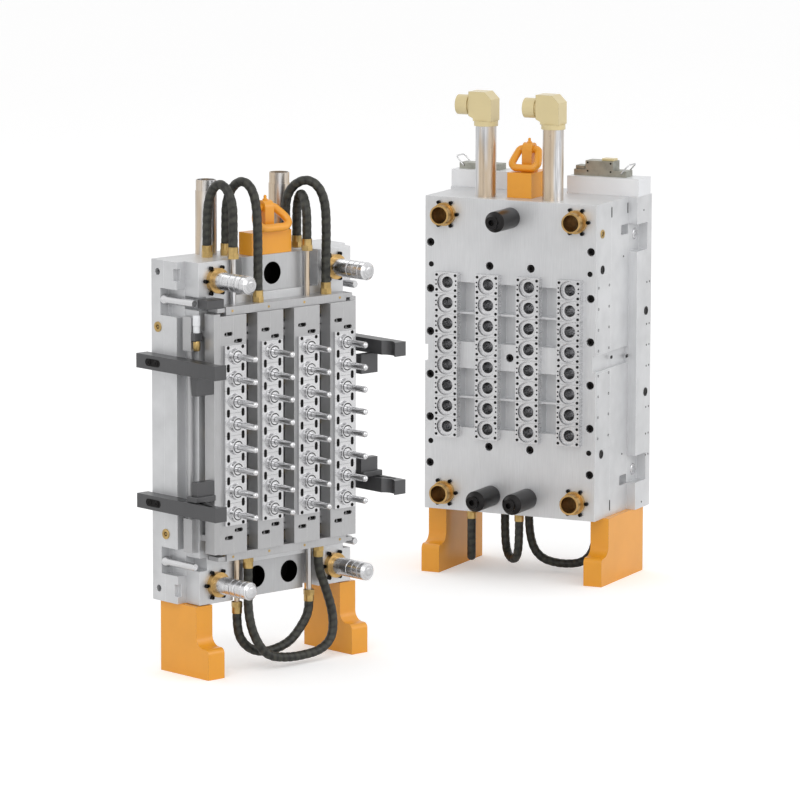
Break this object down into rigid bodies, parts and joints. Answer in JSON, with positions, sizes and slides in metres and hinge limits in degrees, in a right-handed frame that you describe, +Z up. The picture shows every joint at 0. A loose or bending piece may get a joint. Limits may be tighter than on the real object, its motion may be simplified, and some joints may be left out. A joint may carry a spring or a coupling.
{
  "type": "preform mould",
  "caption": "Two-half injection mould for bottle preforms: a core half with split neck rings and a stripper plate, and a cavity half with its hot runner, each on its feet.",
  "frame": {"origin": "on the floor, under the middle of the box round both halves without their hoses", "axes": "+Z up; the core half faces -Y, with its columns across X; the cavity half stands to its right, turned 68 degrees clockwise seen from above"},
  "size_m": [1.6876, 0.8205, 1.172],
  "materials": {
    "plate_steel": "ground steel plate",
    "slide_steel": "ground steel",
    "neck_steel": "ground and polished tool steel",
    "core_steel": "mirror polished steel",
    "cam_steel": "dark hardened steel",
    "black_steel": "blackened steel",
    "fitting_steel": "stainless steel",
    "bronze": "turned bronze",
    "brass": "machined brass",
    "hose_black": "rubber hose in a black spiral wrap",
    "orange_paint": "orange enamel",
    "elbow_paint": "pale yellow passivated casting",
    "box_white": "white enamel",
    "connector_grey": "die-cast housing",
    "latch_wire": "plated wire"
  },
  "bodies": {
    "standing_mould": {"core_backing_plate": "plate_steel", "core_plate": "plate_steel", "centre_blocks": "plate_steel", "leader_pins": "core_steel", "upper_cores": "core_steel", "lower_cores": "core_steel", "cooling_tubes": "fitting_steel", "cam_bars": "cam_steel", "core_feet": "orange_paint", "core_lifting_block": "orange_paint", "core_water_pipes": "fitting_steel", "core_hose_fittings": "brass", "cavity_plate": "plate_steel", "manifold_plate": "plate_steel", "hot_backing_plate": "plate_steel", "hot_runner": "fitting_steel", "locating_ring": "fitting_steel", "upper_cavity_inserts": "neck_steel", "lower_cavity_inserts": "neck_steel", "cavity_bushings": "bronze", "locating_pins": "black_steel", "cavity_feet": "orange_paint", "hot_lifting_block": "orange_paint", "hot_water_pipes": "fitting_steel", "pipe_elbows": "elbow_paint", "junction_boxes": "box_white", "connector_housings": "connector_grey", "hot_hose_fittings": "brass", "hot_hose_a": "hose_black", "hot_hose_b": "hose_black", "hot_hose_c": "hose_black"},
    "stripper": {"stripper_plate": "plate_steel", "stripper_bushings": "bronze", "push_rods": "fitting_steel", "guide_rails": "slide_steel", "wear_strips": "bronze", "stub_tubes": "fitting_steel", "stripper_hose_fittings": "brass", "side_manifolds": "fitting_steel", "hose_a": "hose_black", "hose_b": "hose_black", "hose_c": "hose_black", "hose_d": "hose_black", "hose_e": "hose_black", "hose_f": "hose_black"},
    "left_slide_set": {"left_slides": "slide_steel", "left_tie_bar": "slide_steel", "left_neck_rings": "neck_steel", "left_cam_followers": "cam_steel"},
    "right_slide_set": {"right_slides": "slide_steel", "right_tie_bar": "slide_steel", "right_neck_rings": "neck_steel", "right_cam_followers": "cam_steel"},
    "core_hoist_swivel": {"core_swivel": "orange_paint"},
    "core_hoist_ring": {"core_lift_ring": "orange_paint"},
    "hot_hoist_swivel": {"hot_swivel": "orange_paint"},
    "hot_hoist_ring": {"hot_lift_ring": "orange_paint"},
    "left_connector_latch": {"left_latch": "latch_wire"},
    "right_connector_latch": {"right_latch": "latch_wire"}
  },
  "joints": [
    {"name": "stripper_travel", "type": "slide", "parent": "standing_mould", "child": "stripper", "axis": [0, -1, 0], "range_m": [0, 0.06]},
    {"name": "left_slides_spread", "type": "slide", "parent": "stripper", "child": "left_slide_set", "axis": [-1, 0, 0], "range_m": [0, 0.012]},
    {"name": "right_slides_spread", "type": "slide", "parent": "stripper", "child": "right_slide_set", "axis": [1, 0, 0], "range_m": [0, 0.012]},
    {"name": "core_swivel_turn", "type": "hinge", "parent": "standing_mould", "child": "core_hoist_swivel", "pos_m": [-0.56478, -0.25165, 0.955], "axis": [0, 0, 1], "continuous": true},
    {"name": "core_ring_swing", "type": "hinge", "parent": "core_hoist_swivel", "child": "core_hoist_ring", "pos_m": [-0.56478, -0.25165, 1.022], "axis": [-1, 0, 0], "range_deg": [0, 180]},
    {"name": "hot_swivel_turn", "type": "hinge", "parent": "standing_mould", "child": "hot_hoist_swivel", "pos_m": [0.59363, 0.11755, 0.965], "axis": [0, 0, 1], "continuous": true},
    {"name": "hot_ring_swing", "type": "hinge", "parent": "hot_hoist_swivel", "child": "hot_hoist_ring", "pos_m": [0.59363, 0.11755, 1.032], "axis": [-0.3746, 0.9272, 0], "range_deg": [0, 180]},
    {"name": "left_latch_swing", "type": "hinge", "parent": "standing_mould", "child": "left_connector_latch", "pos_m": [0.62729, 0.37059, 0.971], "axis": [0.9272, 0.3746, 0], "range_deg": [-30, 40]},
    {"name": "right_latch_swing", "type": "hinge", "parent": "standing_mould", "child": "right_connector_latch", "pos_m": [0.78313, -0.01512, 0.971], "axis": [0.9272, 0.3746, 0], "range_deg": [-40, 30]}
  ],
  "couplings": [
    {"joint": "left_slides_spread", "follows": "stripper_travel", "ratio": 0.2},
    {"joint": "right_slides_spread", "follows": "stripper_travel", "ratio": 0.2}
  ]
}
